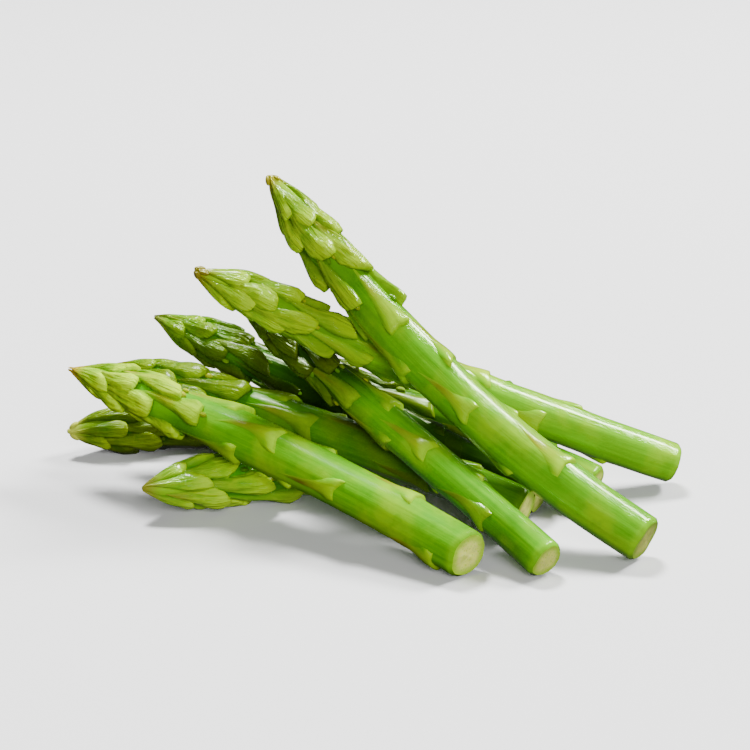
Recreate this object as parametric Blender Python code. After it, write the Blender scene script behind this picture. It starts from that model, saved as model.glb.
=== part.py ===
"""A loose pile of nine trimmed asparagus spears, in metres, +Z up, resting on z = 0.

Each spear is one solid: a core that follows a curved axis, with its scale leaves
(bracts) fused on. Lengths are millimetres until a mesh is made.
"""

import math

import bmesh
import bpy
import numpy as np

MM = 0.001

# Axis of each spear (tip, middle, butt), stem and head radius, length of the pointed end,
# slant of the cut, turn of the first bract in degrees, and the way the bracts wind
SPEARS = {
    "spear_front": ((-91, 15, 33.5), (-29.5, -22, 22.7), (29, -62.5, 6.4), 7.1, 8.3, 35, 2.8, 155, 1),
    "spear_second": ((-79.5, 25.5, 31), (-14.5, -5, 21.2), (46, -34, 8), 6.3, 7.7, 31, 1, 157, -1),
    "spear_middle": ((-39.5, 23, 53), (6.5, -20.5, 29), (50, -63, 4.9), 5.5, 6.6, 31, 1.6, 29, 1),
    "spear_crossing": ((-50, -9, 72.5), (21, -4, 38.2), (94.5, 3, 7), 6.1, 7.3, 24, 1, 163, -1),
    "spear_top": ((-29, 9, 96.5), (21.5, -23, 43.6), (79, -52.5, 6.3), 6.9, 7.9, 31, 2.2, 217, -1),
    "spear_back": ((-67.5, 36, 43.5), (-6.5, 6.5, 25), (51.5, -21.5, 6.8), 6.2, 7.6, 31, 1, 65, 1),
    "spear_low_front": ((-66.5, -22.5, 9.9), (-5, 1, 6.9), (59, 17.5, 6.5), 6.7, 8.6, 24, 1, 5, 1),
    "spear_low_left": ((-96, 27, 8.3), (-24, 44, 6.6), (49, 62, 6.3), 6.5, 8.2, 22, 1, 130, -1),
    "spear_inner": ((-33, 34.5, 33), (19.5, 8.5, 20.6), (68.5, -15.5, 8), 5.6, 6.3, 31, 1, 215, 1),
}

# Spear body
CORE_SIDES = 12
CORE_STATIONS = (0.5, 4, 12, 24, 40, 62, 86, 112)
HEAD_END = (34.0, 62.0)
FRONT = (0.0, -0.94, 0.34)

# Bracts
DIVERGENCE = math.radians(137.5)
FIRST_BASE = 13.2
HEAD_LIFT = 3.0
STEM_LIFT = 1.6
ROOT = 1.8
SPACE = 0.2
ROWS = (0.0, 0.25, 0.62)
COLUMNS = (-1.0, -0.4, 0.4, 1.0)
SMALL_COLUMNS = (-1.0, 0.0, 1.0)


def smooth(low, high, x):
    """0 below low, 1 above high, and an even ease between them."""
    u = np.clip((np.asarray(x, float) - low) / (high - low), 0, 1)
    return u * u * (3 - 2 * u)


class Spear:
    """The axis of one spear and the radii along it, by distance from the tip."""

    def __init__(self, tip, middle, butt, stem, head, taper, slant, turn, winding):
        t = np.linspace(0, 1, 161)[:, None]
        ends = 2 * (t - 0.5) * (t - 1) * np.array(tip) + 2 * t * (t - 0.5) * np.array(butt)
        self.points = ends - 4 * t * (t - 1) * np.array(middle)
        steps = np.linalg.norm(np.diff(self.points, axis=0), axis=1)
        self.far = np.concatenate([[0], np.cumsum(steps)])
        along = np.gradient(self.points, axis=0)
        along /= np.linalg.norm(along, axis=1)[:, None]
        side = np.cross(along, (0, 0, 1))
        self.side = side / np.linalg.norm(side, axis=1)[:, None]
        self.up = np.cross(self.side, along)
        self.length = self.far[-1]
        self.stem = stem
        self.head = head
        self.taper = taper
        self.slant = slant
        self.turn = math.radians(turn)
        self.winding = winding

    def at(self, values, far):
        """The rows of values, given at the axis samples, read at these distances."""
        return np.stack([np.interp(far, self.far, values[:, k]) for k in range(3)], -1)

    def lift(self, far):
        """How far a bract stands above the core."""
        return HEAD_LIFT + (STEM_LIFT - HEAD_LIFT) * smooth(45, 85, far)

    def core(self, far):
        """Core radius: an ogive at the tip, the head, then the stem."""
        far = np.asarray(far, float)
        ogive = (1 - (1 - np.clip(far / self.taper, 0, 1)) ** 2) ** 0.85
        inner = self.head - 0.85 * HEAD_LIFT
        body = inner + (self.stem - inner) * smooth(*HEAD_END, far)
        return 0.35 + (body - 0.35) * ogive

    def cut(self, angle):
        """Distance of the cut's rim from the tip: the side towards the front is shortest."""
        facing = np.arctan2(np.dot(self.side[-1], FRONT), np.dot(self.up[-1], FRONT))
        return self.length - self.slant * (1 + np.cos(angle - facing)) / 2

    def place(self, far, angle, height):
        """Points at a distance from the tip, an angle round the axis and a height above the core."""
        far, angle, height = np.broadcast_arrays(far, angle, height)
        out = np.cos(angle)[..., None] * self.at(self.up, far)
        out = out + np.sin(angle)[..., None] * self.at(self.side, far)
        return self.at(self.points, far) + (self.core(far) + height)[..., None] * out

    def room(self, others, far, angle):
        """The free height above the core: half the way to another core, or all the way to the ground."""
        here = self.place(far, angle, 0.0)
        away = self.place(far, angle, 1.0) - here
        room = np.where(away[..., 2] < -0.05, here[..., 2] / np.maximum(-away[..., 2], 0.05), 99.0)
        for other in others:
            gap = np.linalg.norm(here[..., None, :] - other.points, axis=-1) - other.core(other.far)
            room = np.minimum(room, gap.min(axis=-1) / 2 - SPACE)
        return room


def new_object(name, points, faces, collection):
    mesh = bpy.data.meshes.new(name)
    mesh.from_pydata((np.asarray(points) * MM).tolist(), [], faces)
    bm = bmesh.new()
    bm.from_mesh(mesh)
    bmesh.ops.recalc_face_normals(bm, faces=bm.faces)
    bm.to_mesh(mesh)
    bm.free()
    obj = bpy.data.objects.new(name, mesh)
    collection.objects.link(obj)
    return obj


def core_object(name, spear, collection):
    """The core: rings along the axis, a point at the tip and a slanting cut at the butt."""
    stations = [far for far in CORE_STATIONS if far < spear.length - 12]
    angles = (np.arange(CORE_SIDES) + 0.5) * 2 * math.pi / CORE_SIDES
    rings = spear.place(np.array(stations)[:, None], angles[None, :], 0.0)
    rim = spear.place(spear.cut(angles), angles, 0.0)
    points = np.vstack([spear.points[:1], rings.reshape(-1, 3), rim, rim.mean(axis=0)])
    faces = []
    for i in range(CORE_SIDES):
        j = (i + 1) % CORE_SIDES
        faces.append((0, 1 + i, 1 + j))
        for k in range(len(stations)):
            a, b = 1 + k * CORE_SIDES, 1 + (k + 1) * CORE_SIDES
            faces.append((a + i, b + i, b + j, a + j))
        last = 1 + len(stations) * CORE_SIDES
        faces.append((last + i, len(points) - 1, last + j))
    return new_object(name, points, faces, collection)


def bract_width(share, stemward):
    """Share of the half width: a rounded drop in the head, an arrow head on the stem."""
    drop = np.sqrt(np.clip(0.30 + 3.2 * share, 0, 1)) * np.minimum(1, (1 - share) / 0.74) ** 0.85
    arrow = np.minimum(1, 1.06 * (1 - share)) ** 0.9
    return drop + (arrow - drop) * stemward


def bract_rise(share, stemward):
    """Share of the lift: plump in the head, nearly flush with a proud base on the stem."""
    plump = (0.80 + 0.20 * smooth(0, 0.22, share)) * (1 - 0.88 * smooth(0.26, 1.02, share))
    flush = 0.16 + 0.84 * (1 - smooth(0, 0.42, share))
    return plump + (flush - plump) * stemward


def bract_object(name, spear, others, base, angle, collection):
    """One scale leaf: its base faces the butt, rounded in the head and two-lobed on the stem."""
    length = 0.95 * base if base < 20 else 19 + 5 * smooth(20, 40, base) - 4 * smooth(60, 85, base)
    half = 4.7 * (1 - math.exp(-base / 9))
    columns = COLUMNS if base > 24 else SMALL_COLUMNS
    stemward = smooth(38, 72, base)
    share, across = np.meshgrid(ROWS, columns, indexing="ij")
    lobed = 0.06 * (np.abs(across) - 0.45)
    lobe = (lobed * stemward - 0.055 * across**2 * (1 - stemward)) * (share == 0)
    far = base + (lobe - share) * length
    arc = across * half * bract_width(share, stemward)
    fall = 0.72 - 0.34 * stemward
    rise = bract_rise(share, stemward) * (1 - fall * across**2)
    far = np.append(far.ravel(), base - length)
    arc = np.append(arc.ravel(), 0.0)
    rise = np.append(rise.ravel(), bract_rise(1.0, stemward))
    lift = spear.lift(base) * min(1.0, 0.4 + base / 40)
    core = spear.core(far)
    turn = angle + np.clip(arc / (core + 0.6 * lift), -1.3, 1.3)
    height = np.minimum(rise * lift, spear.room(others, far, turn))
    top = spear.place(far, turn, height)
    foot = spear.place(far, turn, -np.minimum(ROOT, 0.6 * core))
    across, count = len(columns), len(top)
    apex = count - 1
    faces = []
    for i in range(len(ROWS) - 1):
        for j in range(across - 1):
            a, b = i * across + j, (i + 1) * across + j
            faces.append((a, a + 1, b + 1, b))
    last = (len(ROWS) - 1) * across
    faces += [(last + j, last + j + 1, apex) for j in range(across - 1)]
    faces += [tuple(count + k for k in reversed(face)) for face in faces]
    left = [i * across for i in range(len(ROWS))] + [apex]
    right = [i * across + across - 1 for i in range(len(ROWS))] + [apex]
    for rim in (list(range(across)), left, right):
        faces += [(a, b, count + b, count + a) for a, b in zip(rim, rim[1:])]
    return new_object(name, np.vstack([top, foot]), faces, collection)


def bract_bases(length):
    """Distance of each bract's base from the tip: close together in the head, wide apart below."""
    bases = []
    base = FIRST_BASE
    while base < length - 9:
        bases.append(base)
        base += 1.36 + 8.5 * (base / 100) ** 1.6
    return bases


def keep_largest(bm):
    """Drops every closed shell but the largest: scraps, and the walls of sealed hollows."""
    left = set(bm.faces)
    shells = []
    while left:
        shell, edge = set(), [next(iter(left))]
        while edge:
            face = edge.pop()
            if face in shell:
                continue
            shell.add(face)
            edge += [f for e in face.edges for f in e.link_faces if f not in shell]
        left -= shell
        shells.append(shell)
    shells.sort(key=lambda shell: sum(face.calc_area() for face in shell))
    spare = [face for shell in shells[:-1] for face in shell]
    bmesh.ops.delete(bm, geom=spare, context="FACES")


def fuse(obj, collection):
    """Joins the objects of the collection to obj and removes them."""
    union = obj.modifiers.new("fuse", "BOOLEAN")
    union.operation = "UNION"
    union.operand_type = "COLLECTION"
    union.collection = collection
    union.solver = "MANIFOLD"
    bpy.context.view_layer.update()
    graph = bpy.context.evaluated_depsgraph_get()
    mesh = bpy.data.meshes.new_from_object(obj.evaluated_get(graph))
    obj.modifiers.remove(union)
    old = obj.data
    obj.data = mesh
    bpy.data.meshes.remove(old)
    mesh.name = obj.name
    for part in list(collection.objects):
        bpy.data.objects.remove(part)
    bpy.data.collections.remove(collection)


def finish(obj):
    """Leaves one shell, cut flat where it touches the ground."""
    bm = bmesh.new()
    bm.from_mesh(obj.data)
    keep_largest(bm)
    everything = bm.verts[:] + bm.edges[:] + bm.faces[:]
    bmesh.ops.bisect_plane(
        bm, geom=everything, plane_co=(0, 0, 0), plane_no=(0, 0, 1), clear_inner=True
    )
    rim = [edge for edge in bm.edges if edge.is_boundary]
    bmesh.ops.holes_fill(bm, edges=rim)
    bmesh.ops.triangulate(bm, faces=bm.faces)
    bm.to_mesh(obj.data)
    bm.free()


def green(name, colour):
    material = bpy.data.materials.new(name)
    material.use_nodes = True
    shader = material.node_tree.nodes["Principled BSDF"]
    shader.inputs["Base Color"].default_value = (*colour, 1)
    shader.inputs["Roughness"].default_value = 0.35
    shader.inputs["Metallic"].default_value = 0.0
    return material


for old in list(bpy.data.objects):
    bpy.data.objects.remove(old)
pile = bpy.data.collections.new("asparagus_bundle")
bpy.context.scene.collection.children.link(pile)

spears = {name: Spear(*row) for name, row in SPEARS.items()}
for number, (name, spear) in enumerate(spears.items()):
    others = [other for other in spears.values() if other is not spear]
    core = core_object(name, spear, pile)
    bracts = bpy.data.collections.new(f"{name}_bracts")
    bpy.context.scene.collection.children.link(bracts)
    for k, base in enumerate(bract_bases(spear.length)):
        angle = spear.turn + spear.winding * k * DIVERGENCE
        bract_object(f"{name}_bract_{k}", spear, others, base, angle, bracts)
    fuse(core, bracts)
    finish(core)
    shade = 0.9 + 0.02 * number
    core.data.materials.clear()
    core.data.materials.append(green(f"{name}_green", (0.14 * shade, 0.34 * shade, 0.03)))
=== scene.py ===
"""The look of the asparagus pile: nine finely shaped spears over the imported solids.

Each spear follows the same curved axis, radii and bract rule as its solid. Its skin,
its cut end, its bracts and its buds are surfaces worked out with numpy. Lengths are
millimetres until a mesh is made.
"""

import math
from typing import NamedTuple

import bpy
import numpy as np
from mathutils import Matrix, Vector


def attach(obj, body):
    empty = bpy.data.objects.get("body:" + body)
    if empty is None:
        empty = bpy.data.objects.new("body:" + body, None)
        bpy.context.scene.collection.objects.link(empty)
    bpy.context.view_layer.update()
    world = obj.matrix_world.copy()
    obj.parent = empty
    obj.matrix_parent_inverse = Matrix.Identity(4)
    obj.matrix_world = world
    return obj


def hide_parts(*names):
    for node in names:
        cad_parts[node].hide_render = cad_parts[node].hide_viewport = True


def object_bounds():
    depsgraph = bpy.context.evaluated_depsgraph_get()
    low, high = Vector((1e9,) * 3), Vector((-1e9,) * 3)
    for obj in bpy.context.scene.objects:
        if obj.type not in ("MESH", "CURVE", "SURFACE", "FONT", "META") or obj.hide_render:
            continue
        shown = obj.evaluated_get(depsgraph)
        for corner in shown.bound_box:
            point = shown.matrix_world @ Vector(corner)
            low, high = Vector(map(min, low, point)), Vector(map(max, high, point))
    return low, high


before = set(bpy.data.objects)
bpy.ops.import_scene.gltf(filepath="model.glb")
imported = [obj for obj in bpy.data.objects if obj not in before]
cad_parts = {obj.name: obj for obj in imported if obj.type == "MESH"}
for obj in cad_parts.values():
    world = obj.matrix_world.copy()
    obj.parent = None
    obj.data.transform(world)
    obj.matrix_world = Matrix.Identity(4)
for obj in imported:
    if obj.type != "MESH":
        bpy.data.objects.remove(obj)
cad_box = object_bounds()

MM = 0.001

# Axis of each spear (tip, middle, butt), stem and head radius, length of the pointed end,
# slant of the cut, turn of the first bract in degrees, and the way the bracts wind
SPEARS = {
    "front": ((-91, 15, 33.5), (-29.5, -22, 22.7), (29, -62.5, 6.4), 7.1, 8.3, 35, 2.8, 155, 1),
    "second": ((-79.5, 25.5, 31), (-14.5, -5, 21.2), (46, -34, 8), 6.3, 7.7, 31, 1, 157, -1),
    "middle": ((-39.5, 23, 53), (6.5, -20.5, 29), (50, -63, 4.9), 5.5, 6.6, 31, 1.6, 29, 1),
    "crossing": ((-50, -9, 72.5), (21, -4, 38.2), (94.5, 3, 7), 6.1, 7.3, 24, 1, 163, -1),
    "top": ((-29, 9, 96.5), (21.5, -23, 43.6), (79, -52.5, 6.3), 6.9, 7.9, 31, 2.2, 217, -1),
    "back": ((-67.5, 36, 43.5), (-6.5, 6.5, 25), (51.5, -21.5, 6.8), 6.2, 7.6, 31, 1, 65, 1),
    "low_front": ((-66.5, -22.5, 9.9), (-5, 1, 6.9), (59, 17.5, 6.5), 6.7, 8.6, 24, 1, 5, 1),
    "low_left": ((-96, 27, 8.3), (-24, 44, 6.6), (49, 62, 6.3), 6.5, 8.2, 22, 1, 130, -1),
    "inner": ((-33, 34.5, 33), (19.5, 8.5, 20.6), (68.5, -15.5, 8), 5.6, 6.3, 31, 1, 215, 1),
}


class Look(NamedTuple):
    """How the finish and the tip of one spear differ from the others."""

    stem_shade: float  # brightness of the stem: its own tone with painted light and shade for its place in the pile
    head_shade: float  # brightness of the head: its own tone with painted light and shade for its place in the pile
    painted_shade_near: float  # share of the brightness lost close to a neighbour or the ground, as painted shade
    cast: float  # share of yellow, or of deep green when below 0
    rough: float
    gloss: float
    tip_colour: tuple
    wisp: float  # how far the first bracts pass the tip
    nubs: int  # small nubs round the tip


LOOKS = {
    "front": Look(1.12, 1.72, 0.50, 0.04, 0.50, 0.05, (184, 146, 36), 1.6, 0),
    "second": Look(0.94, 1.46, 0.68, -0.24, 0.24, 0.25, (150, 130, 60), 0.6, 0),
    "middle": Look(1.46, 0.36, 0.62, -0.08, 0.20, 0.60, (150, 140, 50), -0.2, 0),
    "crossing": Look(1.48, 1.42, 0.28, 0.20, 0.11, 1.00, (146, 124, 34), 0.3, 8),
    "top": Look(1.18, 1.20, 0.30, 0.06, 0.13, 1.00, (180, 164, 42), -0.6, 3),
    "back": Look(0.60, 1.60, 0.92, -0.46, 0.22, 0.35, (130, 140, 50), 0.4, 0),
    "low_front": Look(1.5, 1.95, 0.04, -0.26, 0.16, 1.00, (150, 140, 50), -0.2, 0),
    "low_left": Look(0.70, 0.74, 0.88, -0.06, 0.24, 0.30, (212, 220, 84), -0.8, 3),
    "inner": Look(1.2, 0.50, 0.60, 0.0, 0.20, 0.30, (150, 140, 50), -0.2, 0),
}
FIRST_SEED = 40

# Spear body
AXIS_SAMPLES = 161
HEAD_END = (34.0, 62.0)
TIP_RADIUS = 0.35
FRONT = (0.0, -0.94, 0.34)
SPACE = 0.2
FREE = 99.0
FLUTES = 13
FLUTE_DEPTH = 0.045
SWELLING = 0.35

# Skin and cut end
SKIN_ROWS = 190
SKIN_SIDES = 72
SKIN_START = 0.15
SKIN_ANGLES = (np.arange(SKIN_SIDES) * 2 * math.pi / SKIN_SIDES)[None, :]
CUT_RINGS = 9
RIM = 1.1
RIM_DENT = 0.16
RIM_SWAY = 16.0

# Bracts
DIVERGENCE = math.radians(137.5)
FIRST_BASE = 13.2
LAST_BASE = 9.0
HEAD_LIFT = 3.0
STEM_LIFT = 1.6
STEMWARD = (38, 72)
HALF_WIDTH = 4.9
LOW_HEAD_EXTRA = 0.3
BRACT_ROWS = 18
BRACT_TOP = 15
BELOW_SKIN = -1.2

# Buds
BUD_SPAN = (26, 60)
BUD_SIZE = (0.55, 0.95)
BUD_RINGS = 7
BUD_SIDES = 8
BUD_STRETCH = 1.7
POLE = 0.02

# What a point of a spear belongs to
BRACT, CUT, BUD = 1.0, 2.0, 3.0

# Camera: it looks at AIM from DISTANCE away, HEIGHT_ANGLE above the floor
AIM = (2.0, 61.5, 14.8)
DISTANCE = 650.0
HEIGHT_ANGLE = 20.0
FOCAL_PIXELS = 1950.0
PICTURE = 750.0
SENSOR = 36.0

# Studio, in metres: place, size and power of each light
LIGHTS = {
    "key": ((1.5, 0.7, 1.7), 0.7, 92),
    "top": ((-0.3, 0.9, 2.1), 0.5, 98),
    "front": ((0.45, -2.2, 1.1), 1.2, 62),
}
LIT_POINT = (0.0, 0.0, 0.03)
FLOOR_HALF = 3.0
FLOOR_DROP = 0.0002
FLOOR_WHITE = (0.90, 0.90, 0.90, 1)
WORLD_STRENGTH = 0.08


# Curves and surfaces


def smooth(low, high, x):
    """0 below low, 1 above high, and an even ease between them."""
    u = np.clip((np.asarray(x, float) - low) / (high - low), 0, 1)
    return u * u * (3 - 2 * u)


def blend(a, b, share):
    """a where share is 0, b where it is 1, and evenly between them."""
    return a + (b - a) * share


def each(values):
    """One value for each bract or bud, shaped to meet a grid of rows and ring points."""
    return np.asarray(values)[:, None, None]


class Spear:
    """The axis of one spear and the radii along it, by distance from the tip."""

    def __init__(self, tip, middle, butt, stem, head, taper, slant, turn, winding):
        """The axis is the parabola through three points. Side and up stand square to it."""
        t = np.linspace(0, 1, AXIS_SAMPLES)[:, None]
        ends = 2 * (t - 0.5) * (t - 1) * np.array(tip) + 2 * t * (t - 0.5) * np.array(butt)
        self.points = ends - 4 * t * (t - 1) * np.array(middle)
        steps = np.linalg.norm(np.diff(self.points, axis=0), axis=1)
        self.far = np.concatenate([[0], np.cumsum(steps)])
        along = np.gradient(self.points, axis=0)
        along /= np.linalg.norm(along, axis=1)[:, None]
        self.along = along
        side = np.cross(along, (0, 0, 1))
        self.side = side / np.linalg.norm(side, axis=1)[:, None]
        self.up = np.cross(self.side, along)
        self.length = self.far[-1]
        self.stem = stem
        self.head = head
        self.taper = taper
        self.slant = slant
        self.turn = math.radians(turn)
        self.winding = winding
        self.phase = np.random.default_rng(turn).uniform(0, 2 * math.pi, 8)

    def at(self, values, far):
        """The rows of values, given at the axis samples, read at these distances."""
        return np.stack([np.interp(far, self.far, values[:, k]) for k in range(3)], -1)

    def lift(self, far):
        """How far a bract stands above the core."""
        return HEAD_LIFT + (STEM_LIFT - HEAD_LIFT) * smooth(45, 85, far)

    def core(self, far):
        """Core radius: an ogive at the tip, the head, then the stem."""
        far = np.asarray(far, float)
        ogive = (1 - (1 - np.clip(far / self.taper, 0, 1)) ** 2) ** 0.85
        inner = self.head - 0.85 * HEAD_LIFT
        along = inner + (self.stem - inner) * smooth(*HEAD_END, far)
        return TIP_RADIUS + (along - TIP_RADIUS) * ogive

    def cut(self, angle):
        """Distance of the cut's rim from the tip: the side towards the front is shortest."""
        facing = np.arctan2(np.dot(self.side[-1], FRONT), np.dot(self.up[-1], FRONT))
        return self.length - self.slant * (1 + np.cos(angle - facing)) / 2

    def place(self, far, angle, height):
        """Points at a distance from the tip, an angle round the axis and a height on the core."""
        far, angle, height = np.broadcast_arrays(far, angle, height)
        out = np.cos(angle)[..., None] * self.at(self.up, far)
        out = out + np.sin(angle)[..., None] * self.at(self.side, far)
        middle = self.at(self.points, far) + np.minimum(far, 0)[..., None] * self.along[0]
        return middle + (self.core(far) + height)[..., None] * out

    def room(self, others, far, angle):
        """The free height above the core: half the way to another core, or all the way to
        the ground."""
        here = self.place(far, angle, 0.0)
        away = self.place(far, angle, 1.0) - here
        down = here[..., 2] / np.maximum(-away[..., 2], 0.05)
        room = np.where(away[..., 2] < -0.05, down, FREE)
        for other in others:
            points, radii = other.points[::4], other.core(other.far[::4])
            gap = np.linalg.norm(here[..., None, :] - points, axis=-1) - radii
            room = np.minimum(room, gap.min(axis=-1) / 2 - SPACE)
        return room

    def leaves(self):
        """Distance of each bract's base from the tip, close together in the head, and its
        angle, one divergence on from the last."""
        bases = []
        base = FIRST_BASE
        while base < self.length - LAST_BASE:
            bases.append(base)
            base += 1.36 + 8.5 * (base / 100) ** 1.6
        return np.array(bases), self.turn + self.winding * DIVERGENCE * np.arange(len(bases))

    def skin(self, far, angle):
        """Height of the skin above the core: a slight oval, small flutes and slow bends, all
        fading out at the tip, and a bell-shaped swelling at each stem bract."""
        phase = self.phase
        oval = 0.022 * np.cos(2 * angle + phase[0] + far / 60)
        flute = FLUTE_DEPTH * np.cos(FLUTES * angle + phase[1] + 0.5 * np.sin(far / 23))
        bends = 0.10 * np.sin(far / 13 + phase[2]) + 0.06 * np.sin(far / 7 + phase[3])
        height = (self.core(far) * oval + flute + bends) * smooth(5, 30, far)
        for base, turn in zip(*self.leaves()):
            off = np.angle(np.exp(1j * (angle - turn))) * self.stem
            below = (far - base + 1.0) / np.where(far > base - 1.0, 4.5, 9.0)
            swell = np.exp(-(below**2) - (off / 4.2) ** 2)
            height = height + SWELLING * smooth(50, 80, base) * swell
        return height


def grid_faces(rows, columns):
    """Quads between the rows of a grid whose last column joins its first."""
    a = np.arange(rows - 1)[:, None] * columns
    j = np.arange(columns)[None, :]
    k = (j + 1) % columns
    return np.stack([a + j, a + k, a + columns + k, a + columns + j], -1).reshape(-1, 4)


def copied_faces(count, rows, columns):
    """The quads of count such grids, one after the other."""
    first = each(np.arange(count) * rows * columns)
    return (grid_faces(rows, columns)[None] + first).reshape(-1, 4)


class Pieces:
    """Collects surfaces and their attributes, and makes them one mesh."""

    NAMES = ("kind", "reach", "share", "across", "tone", "nose", "tip", "close")

    def __init__(self):
        self.points = []
        self.faces = []
        self.uv = []
        self.values = {name: [] for name in self.NAMES}
        self.count = 0

    def add(self, points, faces, uv, **values):
        """Adds a surface. An attribute that isn't given is 0 on it."""
        size = points.shape[:-1]
        self.points.append(points.reshape(-1, 3))
        self.faces.append(faces + self.count)
        self.uv.append(np.stack([np.broadcast_to(part, size).ravel() for part in uv], -1))
        for name in self.NAMES:
            self.values[name].append(np.broadcast_to(values.get(name, 0.0), size).ravel())
        self.count += self.points[-1].shape[0]

    def object(self, name):
        """All surfaces as one object in metres, held inside the box of the solids."""
        points = np.clip(np.vstack(self.points) * MM, *cad_box)
        quads = np.vstack(self.faces)
        mesh = bpy.data.meshes.new(name)
        mesh.vertices.add(len(points))
        mesh.vertices.foreach_set("co", points.ravel())
        mesh.loops.add(quads.size)
        mesh.loops.foreach_set("vertex_index", quads.ravel())
        mesh.polygons.add(len(quads))
        mesh.polygons.foreach_set("loop_start", np.arange(len(quads)) * 4)
        mesh.update(calc_edges=True)
        mesh.polygons.foreach_set("use_smooth", np.ones(len(quads), bool))
        layer = mesh.uv_layers.new(name="UVMap")
        uv = np.vstack(self.uv)[quads.ravel()]
        layer.data.foreach_set("uv", uv.astype(np.float32).ravel())
        for key, values in self.values.items():
            attribute = mesh.attributes.new(key, "FLOAT", "POINT")
            attribute.data.foreach_set("value", np.concatenate(values).astype(np.float32))
        obj = bpy.data.objects.new(name, mesh)
        bpy.context.scene.collection.objects.link(obj)
        return obj


def stem_skin(pieces, spear, others):
    """The skin all round, from the tip to the cut: the core and its relief, three waves of
    dents near the end, and a quarter round at the rim. Returns the rim's points."""
    phase = spear.phase
    angle = SKIN_ANGLES
    shares = np.linspace(0, 1, SKIN_ROWS) ** 1.1
    far = (SKIN_START + shares * (spear.length - SKIN_START))[:, None]
    height = spear.skin(far, angle)
    last = smooth(spear.length - 9, spear.length, far)
    dents = np.cos(2 * angle + phase[4]) + 0.7 * np.cos(3 * angle + phase[5])
    dents = dents + 0.5 * np.cos(5 * angle + phase[6])
    height = height + RIM_DENT * last * (dents - 1.0)
    rim = np.clip((far - spear.length + RIM) / RIM, 0, 1)
    height = height - RIM * (1 - np.sqrt(1 - np.minimum(rim, 0.97) ** 2))
    room = spear.room(others, far, angle)
    height = np.minimum(height, room)
    short = spear.length - spear.cut(angle) + 0.12 * (dents + 2.2)
    sway = smooth(spear.length - RIM_SWAY, spear.length, far)
    points = spear.place(far - short * sway, angle, height)
    made = {
        "share": smooth(spear.length - 5, spear.length, far),
        "reach": far / 100,
        "tip": 1 - smooth(0.5, 6, far),
        # nearness to a neighbour or the ground, darkened in paint as painted shade
        "close": 1 - smooth(0.2, 9, room),
    }
    faces = grid_faces(SKIN_ROWS, SKIN_SIDES)[:, ::-1]
    pieces.add(points, faces, (angle * spear.stem, far), **made)
    return points[-1]


def cut_end(pieces, spear, rim):
    """Rings that shrink from the rim to its middle, dished along the axis with fibres."""
    phase = spear.phase
    angle = SKIN_ANGLES
    centre = rim.mean(axis=0)
    inward = np.linspace(1, 0.001, CUT_RINGS)[:, None] ** 0.8
    fibres = np.cos(3 * angle + phase[1]) + np.sin(7 * angle + phase[2]) * inward
    dish = (0.10 + 0.12 * fibres) * (1 - inward**2) * inward
    points = centre + (rim[None] - centre) * inward[..., None]
    points = points - dish[..., None] * spear.along[-1]
    flat = (inward * np.cos(angle) * spear.stem, inward * np.sin(angle) * spear.stem)
    faces = grid_faces(CUT_RINGS, SKIN_SIDES)[:, ::-1]
    pieces.add(points, faces, flat, kind=CUT, share=inward, reach=spear.length / 100)


def bract_width(s, stemward):
    """Half width along a bract, as a share: a drop in the head and an arrow on the stem.
    Both close in a power of what is left to the apex."""
    drop = np.sqrt(np.clip(0.58 + 2.8 * s, 0, 1)) * np.minimum(1, (1 - s) / 0.80 + 1e-4) ** 0.90
    arrow = np.minimum(1, 1.06 * (1 - s) + 1e-4) ** 0.9
    return blend(drop, (0.94 + 0.06 * smooth(0, 0.1, s)) * arrow, stemward)


def bract_height(s, w, level, under, lift, skew, wave, stemward):
    """Height of a bract above the skin: its back along s times its arch across w, plus
    ripples. In the head it is a plump arch with round margins; on the stem it is nearly
    flush, with raised corners at its base and margins that melt into the skin."""
    wide = np.abs(w)
    plump = 1 - 0.90 * np.clip((s - 0.10) / 0.92, 0, 1) ** 1.1
    plump = (0.88 + 0.12 * smooth(0, 0.12, s)) * plump
    flush = 0.16 + 0.84 * (1 - smooth(0.0, 0.42, s)) - 0.1 * smooth(0.6, 1, s)
    back = blend(plump, flush, stemward)
    arch = 0.55 * np.sqrt(np.clip(1 - w * w, 0, 1)) + 0.45 * (1 - 0.5 * w * w)
    horns = 1 + 0.50 * (1 - smooth(0, 0.25, s)) * (w * w - 0.5)
    horned = 0.74 * np.sqrt(np.clip(1 - w**8, 0, 1)) * horns
    edge = np.sqrt(np.clip(1 - np.clip((wide - 0.82) / 0.18, 0, 1) ** 2, 0, 1))
    edge = blend(edge, 1 - smooth(0.35, 1.0, wide), stemward * smooth(0.04, 0.30, s))
    cross = blend(arch, horned, stemward) * (0.12 + 0.88 * edge) + skew * w * edge
    ripple = 0.09 * np.sin(4 * w + wave + 5 * s) + 0.07 * np.sin(9 * w + 2 * wave - 4 * s)
    ripple = (ripple * edge + 0.09 * np.sin(9 * s + wave * 3)) * (1 - 0.7 * stemward)
    above = back * cross + ripple * smooth(0, 0.1, s) * (1 - s) ** 0.5
    height = lift * above * level - 0.45 * (1 - edge)
    height = np.where(level < 0, level, height)
    return np.where(under > 0.5, np.minimum(height, BELOW_SKIN), height)


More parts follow.
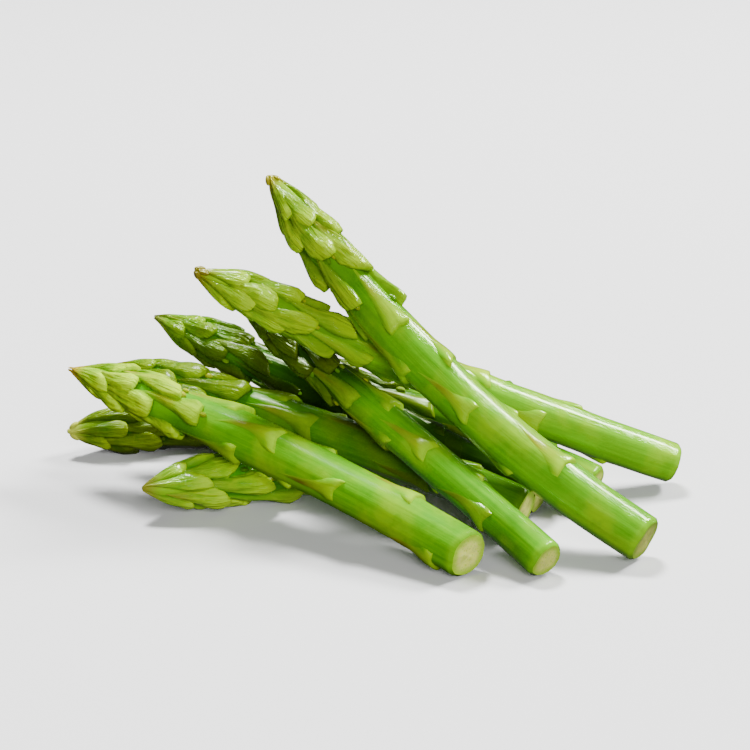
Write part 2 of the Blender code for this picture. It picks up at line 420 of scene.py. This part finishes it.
def bracts(pieces, spear, others, rng, wisp):
    """All scale leaves of a spear at once. Each is rows of rings: a ring arches over the top,
    falls to the core at both margins and closes under the skin. The rows start under the
    base, come round its nose, run over the plump back and end in the apex. In the head a
    bract is a bulging drop; on the stem it is nearly flush, with a raised and horned base."""
    base, turn = spear.leaves()
    count = len(base)
    number = np.arange(count)

    stemward = each(smooth(*STEMWARD, base))
    turn = each(turn + rng.normal(0, 0.05, count))
    grown = 19 + 6 * smooth(20, 40, base) - 5 * smooth(60, 85, base)
    long = np.where(base < 20, 0.95 * base, grown)
    long = each(np.where(number < 3, base + wisp, long * rng.uniform(0.92, 1.05, count)))
    half = HALF_WIDTH * (1 - np.exp(-base / 9))
    half = half + LOW_HEAD_EXTRA * smooth(18, 34, base) * (1 - smooth(52, 74, base))
    half = each(half * rng.uniform(0.84, 1.08, count))
    lift = spear.lift(base) * np.minimum(1.0, 0.4 + base / 40)
    lift = each(lift * rng.uniform(0.90, 1.12, count)) * (1 - 0.22 * stemward)
    lean = each(rng.normal(0, 1.9, count) * smooth(10, 28, base))
    curl = each(rng.normal(0, 0.8, count) * smooth(10, 28, base))
    skew = each(rng.normal(0, 0.22, count))
    wave = each(rng.uniform(0, 6, count))
    base = each(base)

    # The first five rows come round the nose: tucked under it in the head, sloped on the stem
    run = np.linspace(0.0, 1.0, BRACT_ROWS - 4)[1:] ** 1.15
    rest = np.zeros(len(run))
    s = np.concatenate([np.zeros(5), run])[None, :, None]
    tucked = np.concatenate([[-1.5, -0.05, 0.30, 0.22, 0.0], rest])[None, :, None]
    sloped = np.concatenate([[1.7, 1.15, 0.75, 0.35, 0.0], rest])[None, :, None]
    offset = blend(tucked, sloped, stemward)
    level = np.concatenate([[-0.9, -0.05, 0.45, 0.82, 0.97], 1 + rest])[None, :, None]
    top = np.sin(np.linspace(-math.pi / 2, math.pi / 2, BRACT_TOP))
    w = np.concatenate([top, [0.7, 0.0, -0.7]])[None, None, :]
    under = np.concatenate([np.zeros(BRACT_TOP), np.ones(3)])[None, None, :]

    wide = bract_width(s, stemward)
    height = bract_height(s, w, level, under, lift, skew, wave, stemward)
    rounded = -0.055 * (w * w) + 0.36 * skew * w
    lobed = 0.062 * (np.abs(w) - 0.45) + 0.10 * skew * w
    lobe = blend(rounded, lobed, stemward) * long * (1 - smooth(0.0, 0.3, s))
    far = np.maximum(base + lobe - s * long + offset * np.minimum(1, lift / 2), -wisp)
    arc = w * half * wide + lean * s**2 + curl * np.sin(s * math.pi)
    angle = turn + np.clip(arc / (spear.core(far) + 0.6 * lift), -1.4, 1.4)
    room = spear.room(others, far, angle)
    height = np.minimum(height + spear.skin(far, angle), room)
    height = np.maximum(height, -0.6 * spear.core(far))
    made = {
        "share": s,
        "across": w,
        "tone": each(rng.uniform(0, 1, count)),
        "reach": base / 100,
        "nose": np.clip(1 - level, 0, 1) * (1 - stemward),
        "tip": 1 - smooth(0.5, 7, far),
        # nearness to a neighbour or the ground, darkened in paint as painted shade
        "close": 1 - smooth(0.2, 8, room - height),
    }
    faces = copied_faces(count, BRACT_ROWS, w.size)
    uv = (w * half * wide + 31 * each(number), s * long + 7 * each(number))
    pieces.add(spear.place(far, angle, height), faces, uv, kind=BRACT, **made)


def buds(pieces, spear, others, rng, nubs):
    """Small eggs of few faces, sunk to their middle: side buds in the gaps of the lower head,
    and nubs round a scruffy tip. A ring's size is the sine of its polar angle."""
    base, turn = spear.leaves()
    holds = np.flatnonzero((base > BUD_SPAN[0]) & (base < BUD_SPAN[1]))
    number = rng.choice(holds, len(holds))
    count = len(number) + nubs
    spread = rng.normal(0, 1, (len(number), 2))
    size = each(rng.uniform(*BUD_SIZE, count))
    polar = np.linspace(POLE, math.pi - POLE, BUD_RINGS)[None, :, None]
    turned = (np.arange(BUD_SIDES) * 2 * math.pi / BUD_SIDES)[None, None, :]
    on_head = base[number] + 0.9 + 0.5 * spread[:, 0]
    middle = each(np.concatenate([on_head, rng.uniform(0.8, 2.6, nubs)]))
    turn = np.concatenate([turn[number] + 0.3 * spread[:, 1], np.arange(nubs) * DIVERGENCE])
    far = middle - BUD_STRETCH * size * np.cos(polar)
    across = size * np.sin(polar) * np.cos(turned)
    height = 0.35 + 1.05 * size * np.sin(polar) * np.sin(turned)
    angle = each(turn) + across / (spear.core(far) + 0.5)
    height = np.minimum(height, spear.room(others, far, angle))
    made = {
        "share": polar / math.pi,
        "tone": each(rng.uniform(0, 1, count)),
        "reach": middle / 100,
        "tip": 1 - smooth(3, 8, middle),
    }
    faces = copied_faces(count, BUD_RINGS, BUD_SIDES)
    pieces.add(spear.place(far, angle, height), faces, (turned, polar), kind=BUD, **made)


def spear_object(name, spear, others, seed, wisp, nubs):
    """One spear of the look: its skin and cut, its bracts and its buds."""
    rng = np.random.default_rng(seed)
    pieces = Pieces()
    rim = stem_skin(pieces, spear, others)
    cut_end(pieces, spear, rim)
    bracts(pieces, spear, others, rng, wisp)
    buds(pieces, spear, others, rng, nubs)
    return pieces.object(name + "_look")


# Materials


class Wire:
    """A node socket that takes part in expressions; each operation adds a Math node."""

    def __init__(self, tree, socket):
        self.tree = tree
        self.socket = socket

    def math(self, operation, a, b):
        node = add_node(self.tree, "ShaderNodeMath", {"operation": operation}, {0: a, 1: b})
        return Wire(self.tree, node.outputs[0])

    def __add__(self, other):
        return self.math("ADD", self, other)

    __radd__ = __add__

    def __mul__(self, other):
        return self.math("MULTIPLY", self, other)

    __rmul__ = __mul__

    def __sub__(self, other):
        return self.math("SUBTRACT", self, other)

    def __rsub__(self, other):
        return self.math("SUBTRACT", other, self)

    def __abs__(self):
        return self.math("ABSOLUTE", self, 0.0)

    def ramp(self, low, high):
        """0 where the value is below low, 1 above high, eased between."""
        settings = {"interpolation_type": "SMOOTHSTEP"}
        values = {"Value": self, "From Min": low, "From Max": high}
        node = add_node(self.tree, "ShaderNodeMapRange", settings, values)
        return Wire(self.tree, node.outputs[0])


def add_node(tree, kind, settings, values):
    """A node of this kind, with its settings and the values or links of its sockets."""
    node = tree.nodes.new(kind)
    for key, value in settings.items():
        setattr(node, key, value)
    for key, value in values.items():
        socket = node.inputs[key]
        if isinstance(value, Wire):
            tree.links.new(value.socket, socket)
        else:
            socket.default_value = value
    return node


def srgb(red, green, blue):
    """A colour read as 0 to 255 screen values, in linear light."""
    share = np.array([red, green, blue]) / 255
    linear = np.where(share <= 0.04045, share / 12.92, ((share + 0.055) / 1.055) ** 2.4)
    return (*linear.tolist(), 1.0)


# Stem: stripes, fine lines, patches and lumps, the end by the cut, and painted shade on the
# skin that shows between the bracts of the head
STEM_DARK = srgb(70, 150, 0)
STEM_LIGHT = srgb(104, 180, 0)
STEM_LINE = srgb(138, 202, 14)
STEM_PATCH = srgb(146, 190, 0)
STEM_LUMP = srgb(66, 136, 0)
STEM_END = srgb(136, 196, 14)
GAP_SHADE_DARK = srgb(34, 100, 0)
GAP_SHADE_LIGHT = srgb(58, 132, 0)
GAP_SHADE_AT_TIP = srgb(132, 172, 10)

# Head bract: its two greens, wrinkles and lines, lime base, olive end, brown ridge, painted shade
# at the margin
DROP_DARK = srgb(104, 152, 0)
DROP_LIGHT = srgb(160, 190, 14)
DROP_WRINKLE = srgb(70, 130, 0)
DROP_LINE = srgb(184, 206, 40)
DROP_LUMP = srgb(172, 196, 30)
DROP_SPECK = srgb(94, 128, 8)
DROP_BASE = srgb(174, 210, 10)
DROP_OLIVE = srgb(98, 126, 18)
DROP_BROWN = srgb(132, 98, 40)
DROP_MARGIN_SHADE = srgb(44, 90, 0)
NOSE_SHADE = srgb(40, 88, 0)

# Stem bract: lime base, yellow-green middle, brown-purple apex, wrinkles and patches
MARK_BASE = srgb(156, 204, 12)
MARK_MIDDLE = srgb(142, 178, 10)
MARK_APEX = srgb(98, 72, 30)
MARK_WRINKLE = srgb(108, 160, 2)
MARK_PATCH = srgb(188, 164, 20)

BUD_GREEN = srgb(80, 132, 2)
BUD_YELLOW = srgb(168, 178, 26)

# Cut end: bundles of fibre in cream flesh, specks, mottling and the green rim
CUT_FIBRE = srgb(196, 232, 54)
CUT_CREAM = srgb(244, 252, 116)
CUT_SPECK = srgb(252, 255, 160)
CUT_MOTTLE = srgb(200, 226, 70)
CUT_RIM = srgb(168, 218, 30)

# Casts over a whole spear, and the tint of its own sheen
YELLOW_CAST = srgb(148, 186, 0)
GREEN_CAST = srgb(40, 112, 0)
SHEEN_TINT = (0.62, 1.0, 0.30, 1.0)
COAT_SHARE = 0.6
COAT_ROUGHNESS = 0.14
FLESH_WEIGHT = 0.10
FLESH_RADIUS = (0.004, 0.006, 0.0015)
FLESH_SCALE = 0.3
RELIEF_STRENGTH = 0.6
RELIEF_DEPTH = 0.0008


class Finish:
    """One material and the helpers that build its nodes."""

    def __init__(self, name):
        self.material = bpy.data.materials.new(name)
        self.material.use_nodes = True
        self.tree = self.material.node_tree
        self.shader = self.tree.nodes["Principled BSDF"]

    def node(self, kind, settings, values, output=0):
        return Wire(self.tree, add_node(self.tree, kind, settings, values).outputs[output])

    def attribute(self, name):
        return self.node("ShaderNodeAttribute", {"attribute_name": name}, {}, "Fac")

    def mix(self, factor, a, b, blend_type="MIX"):
        """Colour a where the factor is 0, and b, or b blended onto a, where it is 1."""
        settings = {"data_type": "RGBA", "blend_type": blend_type}
        return self.node("ShaderNodeMix", settings, {0: factor, 6: a, 7: b}, 2)

    def noise(self, where, stretch, detail, roughness=0.5):
        """Soft noise on coordinates that are first scaled by stretch."""
        scaled = {0: where, 1: stretch}
        scaled = self.node("ShaderNodeVectorMath", {"operation": "MULTIPLY"}, scaled)
        values = {"Vector": scaled, "Scale": 1.0, "Detail": detail, "Roughness": roughness}
        return self.node("ShaderNodeTexNoise", {}, values)

    def into(self, socket, value):
        """Sets a socket of the shader, or links a wire to it."""
        if isinstance(value, Wire):
            self.tree.links.new(value.socket, self.shader.inputs[socket])
        else:
            self.shader.inputs[socket].default_value = value


class SpearFinish(Finish):
    """Moist green skin: striped stem, paler bracts with brown-purple apexes, cream cut."""

    def __init__(self, name, look):
        super().__init__(name)
        self.look = look
        self.kind = self.attribute("kind")
        self.reach = self.attribute("reach")
        self.share = self.attribute("share")
        self.across = abs(self.attribute("across"))
        self.tone = self.attribute("tone")
        self.head = 1 - self.reach.ramp(0.36, 0.66)
        self.flat = self.node("ShaderNodeUVMap", {"uv_map": "UVMap"}, {})
        solid = self.node("ShaderNodeTexCoord", {}, {}, "Object")
        self.stripe = self.noise(self.flat, (0.9, 0.03, 1), 4, 0.6)
        self.fine = self.noise(self.flat, (3.4, 0.10, 1), 3, 0.6)
        self.wrinkle = self.noise(self.flat, (0.85, 0.13, 1), 2)
        self.patch = self.noise(solid, (70, 70, 70), 3)
        self.lump = self.noise(solid, (260, 260, 260), 2)
        self.mottle = self.noise(solid, (420, 420, 420), 3)
        self.speck = self.noise(solid, (1100, 1100, 1100), 2)
        self.paint()
        self.shine()
        self.emboss()

    def reaches(self, kind):
        """1 on points of this kind and the kinds numbered above it, else 0."""
        return self.kind.ramp(kind - 0.6, kind - 0.4)

    def stem(self):
        """Stripes and fine lines along the stem, patched, with painted shade between head bracts.
        """
        colour = self.mix(self.stripe.ramp(0.30, 0.70) * 0.7, STEM_DARK, STEM_LIGHT)
        colour = self.mix(self.fine.ramp(0.45, 0.75) * 0.22, colour, STEM_LINE)
        colour = self.mix(self.patch.ramp(0.42, 0.70) * 0.70, colour, STEM_PATCH)
        colour = self.mix(self.lump.ramp(0.50, 0.75) * 0.35, colour, STEM_LUMP)
        colour = self.mix(self.share.ramp(0.3, 1.0) * 0.45, colour, STEM_END)
        # painted shade: the skin between the head bracts is darkened, less so near the tip
        gap = self.mix(self.patch.ramp(0.40, 0.70), GAP_SHADE_DARK, GAP_SHADE_LIGHT)
        gap = self.mix(self.reach.ramp(0.08, 0.16), GAP_SHADE_AT_TIP, gap)
        return self.mix((1 - self.reach.ramp(0.40, 0.64)) * 0.80, colour, gap)

    def head_bract(self):
        """A wrinkled drop from its lime base to its olive end, a brown ridge on some, painted
        shade at its margins.
        """
        colour = self.mix(self.tone, DROP_DARK, DROP_LIGHT)
        colour = self.mix(self.wrinkle.ramp(0.38, 0.62) * 0.70, colour, DROP_WRINKLE)
        colour = self.mix(self.fine.ramp(0.45, 0.80) * 0.35, colour, DROP_LINE)
        colour = self.mix(self.lump.ramp(0.45, 0.70) * 0.35, colour, DROP_LUMP)
        colour = self.mix(self.mottle.ramp(0.50, 0.75) * 0.35, colour, DROP_SPECK)
        colour = self.mix((1 - self.share.ramp(0.02, 0.42)) * 0.75, colour, DROP_BASE)
        colour = self.mix(self.share.ramp(0.25, 0.80) * 0.60, colour, DROP_OLIVE)
        ridge = 1 - self.across.ramp(0.10, 0.95)
        streak = self.share.ramp(0.50, 0.90) * ridge * self.tone.ramp(0.30, 0.9)
        colour = self.mix(streak * 0.60, colour, DROP_BROWN)
        # painted shade: the margins, where the bract falls to the core, are darkened
        return self.mix(self.across.ramp(0.66, 1.0) * 0.75, colour, DROP_MARGIN_SHADE)

    def stem_bract(self, stem):
        """A pale mark with a brown-purple apex that fades into the stem at its margins."""
        colour = self.mix(self.share.ramp(0.02, 0.25), MARK_BASE, MARK_MIDDLE)
        apex = self.share.ramp(0.22, 0.62) * (0.50 + 0.40 * self.tone)
        colour = self.mix(apex, colour, MARK_APEX)
        colour = self.mix(self.wrinkle.ramp(0.35, 0.70) * 0.35, colour, MARK_WRINKLE)
        colour = self.mix(self.patch.ramp(0.55, 0.75) * 0.35, colour, MARK_PATCH)
        margin = self.across.ramp(0.15, 0.92) * self.share.ramp(0.0, 0.16)
        fade = 1 - (1 - margin) * (1 - self.share.ramp(0.60, 0.98))
        return self.mix(fade, colour, stem)

    def cut(self):
        """Cream flesh with fibre bundles as cells, and a green rim."""
        values = {"Vector": self.flat, "Scale": 1.1}
        bundle = self.node("ShaderNodeTexVoronoi", {}, values)
        colour = self.mix(bundle.ramp(0.12, 0.42), CUT_FIBRE, CUT_CREAM)
        colour = self.mix(self.speck.ramp(0.4, 0.7) * 0.4, colour, CUT_SPECK)
        colour = self.mix(self.mottle.ramp(0.45, 0.7) * 0.45, colour, CUT_MOTTLE)
        return self.mix(self.share.ramp(0.50, 0.97) * 0.9, colour, CUT_RIM)

    def paint(self):
        """Stem, bracts, buds and cut in one base colour, with painted light and shade in each
        spear's brightness and painted shade near a neighbour or the ground.
        """
        look = self.look
        stem = self.stem()
        leaf = self.mix(self.head, self.stem_bract(stem), self.head_bract())
        nose = self.attribute("nose").ramp(0.30, 0.85) * 0.85
        leaf = self.mix(nose, leaf, NOSE_SHADE)
        green = self.mix(self.reaches(BRACT), stem, leaf)
        green = self.mix(abs(look.cast), green, YELLOW_CAST if look.cast > 0 else GREEN_CAST)
        # each spear's brightness: its own tone with painted light and shade for its place in the
        # pile
        shade = look.stem_shade + (look.head_shade - look.stem_shade) * self.head
        # painted shade where a neighbour or the ground is close
        shade = shade * (1 - self.attribute("close") * look.painted_shade_near)
        grey = self.node("ShaderNodeCombineXYZ", {}, {"X": shade, "Y": shade, "Z": shade})
        green = self.mix(1.0, green, grey, "MULTIPLY")
        bud = self.mix(self.tone.ramp(0.3, 0.9), BUD_GREEN, BUD_YELLOW)
        colour = self.mix(self.reaches(BUD), green, bud)
        colour = self.mix(self.attribute("tip") * 0.85, colour, srgb(*look.tip_colour))
        only_cut = self.reaches(CUT) * (1 - self.reaches(BUD))
        self.into("Base Color", self.mix(only_cut, colour, self.cut()))

    def shine(self):
        """A wet coat over patchy roughness, a green sheen, and a little light in the flesh."""
        wet = self.patch.ramp(0.35, 0.65)
        duller = self.reaches(CUT) * 0.25
        self.into("Roughness", self.look.rough * (0.75 + wet * 0.6) + duller)
        self.into("Specular IOR Level", self.look.gloss)
        self.into("Specular Tint", SHEEN_TINT)
        self.into("Coat Weight", COAT_SHARE * self.look.gloss)
        self.into("Coat Roughness", COAT_ROUGHNESS)
        self.into("Subsurface Weight", FLESH_WEIGHT)
        self.into("Subsurface Radius", FLESH_RADIUS)
        self.into("Subsurface Scale", FLESH_SCALE)

    def emboss(self):
        """Fine relief: faint on the stem, and wrinkled and lumpy on the scales of the head."""
        scaly = self.reaches(BRACT) * self.head
        relief = self.stripe * 0.25 + self.fine * 0.12 + self.speck * 0.05 + self.lump * 0.25
        scales = self.wrinkle * 3.0 + self.lump * 1.6 + self.fine * 0.5 + self.mottle * 0.4
        relief = relief + scales * scaly
        bump = {"Strength": RELIEF_STRENGTH, "Distance": RELIEF_DEPTH, "Height": relief}
        self.into("Normal", self.node("ShaderNodeBump", {}, bump))


# Spears

spears = {name: Spear(*row) for name, row in SPEARS.items()}
for seed, (name, spear) in enumerate(spears.items(), FIRST_SEED):
    others = [other for other in spears.values() if other is not spear]
    look = LOOKS[name]
    node = f"spear_{name}"
    piece = spear_object(node, spear, others, seed, look.wisp, look.nubs)
    piece.data.materials.append(SpearFinish(f"{node}_skin", look).material)
    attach(piece, "root")
    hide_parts(node)


# Floor, light and camera


def floor_object():
    """A square sheet just under the pile. It mirrors in no spear and throws no light up."""
    half = FLOOR_HALF
    corners = [(-half, -half), (half, -half), (half, half), (-half, half)]
    mesh = bpy.data.meshes.new("floor")
    mesh.from_pydata([(x, y, -FLOOR_DROP) for x, y in corners], [], [(0, 1, 2, 3)])
    finish = Finish("floor_white")
    finish.into("Base Color", FLOOR_WHITE)
    finish.into("Roughness", 0.9)
    mesh.materials.append(finish.material)
    obj = bpy.data.objects.new("floor", mesh)
    obj.visible_glossy = False
    obj.visible_diffuse = False
    bpy.context.scene.collection.objects.link(obj)
    return obj


def soft_light(name, place, size, power):
    """A square area light that faces the pile."""
    light = bpy.data.lights.new(name, "AREA")
    light.shape = "SQUARE"
    light.size = size
    light.energy = power
    obj = bpy.data.objects.new(name, light)
    obj.location = place
    obj.rotation_mode = "QUATERNION"
    obj.rotation_quaternion = (Vector(LIT_POINT) - Vector(place)).to_track_quat("-Z", "Y")
    bpy.context.scene.collection.objects.link(obj)
    return obj


def white_world():
    """Faint white light from all round."""
    world = bpy.data.worlds.new("studio")
    world.use_nodes = True
    background = world.node_tree.nodes["Background"]
    background.inputs["Color"].default_value = (1, 1, 1, 1)
    background.inputs["Strength"].default_value = WORLD_STRENGTH
    return world


def photo_camera():
    """The camera at the photograph's angle, its lens worked out from the focal length."""
    camera = bpy.data.cameras.new("camera")
    camera.sensor_width = SENSOR
    camera.lens = SENSOR * FOCAL_PIXELS / PICTURE
    camera.clip_start = 0.01
    obj = bpy.data.objects.new("camera", camera)
    rise = math.radians(HEIGHT_ANGLE)
    back = np.array([0.0, -math.cos(rise), math.sin(rise)])
    obj.location = (np.array(AIM) + DISTANCE * back) * MM
    obj.rotation_euler = (math.pi / 2 - rise, 0, 0)
    bpy.context.scene.collection.objects.link(obj)
    return obj


floor = floor_object()
for name, row in LIGHTS.items():
    light = soft_light(name, *row)
    light.visible_glossy = name != "front"
bpy.context.scene.world = white_world()
bpy.context.scene.camera = photo_camera()
